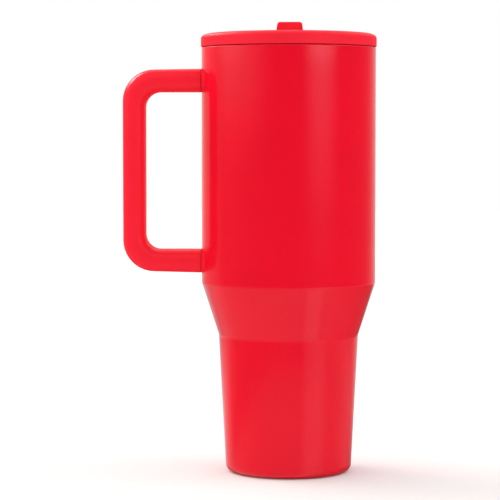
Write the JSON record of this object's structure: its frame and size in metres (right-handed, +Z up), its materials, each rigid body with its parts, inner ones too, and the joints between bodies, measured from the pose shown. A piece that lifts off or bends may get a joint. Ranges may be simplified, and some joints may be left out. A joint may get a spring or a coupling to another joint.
{
  "type": "insulated travel mug",
  "caption": "Tall double-wall travel mug with a side handle, a stepped foot for cup holders, a push-in sealed lid, a flip-up drinking spout and a straw.",
  "frame": {"origin": "on the mug's axis, in the plane of the foot pad's underside, which is the surface the mug stands on", "axes": "+Z up along the mug's axis; the handle is on -X; the closed spout's mouth points to -Y"},
  "size_m": [0.1474, 0.102, 0.2603],
  "materials": {
    "red_paint": "gloss enamel over stainless steel",
    "red_plastic": "satin moulded plastic",
    "red_rubber": "matt silicone rubber",
    "vessel_steel": "electropolished stainless steel",
    "screw_steel": "plain stainless steel",
    "solder": "dull cast bead",
    "getter_metal": "dull sintered metal",
    "core_plastic": "glass-filled moulded plastic",
    "silicone": "translucent matt silicone",
    "straw_plastic": "clear tinted tube"
  },
  "bodies": {
    "mug": {"outer_shell": "red_paint", "outer_base": "red_paint", "inner_vessel": "vessel_steel", "vacuum_plug": "solder", "getter": "getter_metal", "foot_pad": "red_rubber", "upper_bracket": "red_paint", "lower_bracket": "red_paint", "handle_core": "core_plastic", "handle_grip": "red_plastic", "upper_screw": "screw_steel", "lower_screw": "screw_steel", "upper_screw_cap": "red_plastic", "lower_screw_cap": "red_plastic"},
    "gasket": {"lid_gasket": "silicone"},
    "lid": {"lid_shell": "red_plastic", "lid_base": "red_plastic", "port_seal": "silicone", "vent_valve": "silicone", "straw": "straw_plastic"},
    "spout": {"spout": "red_plastic"}
  },
  "joints": [
    {"name": "lid_lift", "type": "slide", "parent": "mug", "child": "gasket", "axis": [0, 0, 1], "range_m": [0, 0.26]},
    {"name": "lid_turn", "type": "hinge", "parent": "gasket", "child": "lid", "pos_m": [0, 0, 0.24], "axis": [0, 0, 1], "continuous": true},
    {"name": "spout_flip", "type": "hinge", "parent": "lid", "child": "spout", "pos_m": [0, 0.014, 0.25], "axis": [-1, 0, 0], "range_deg": [0, 90]}
  ]
}
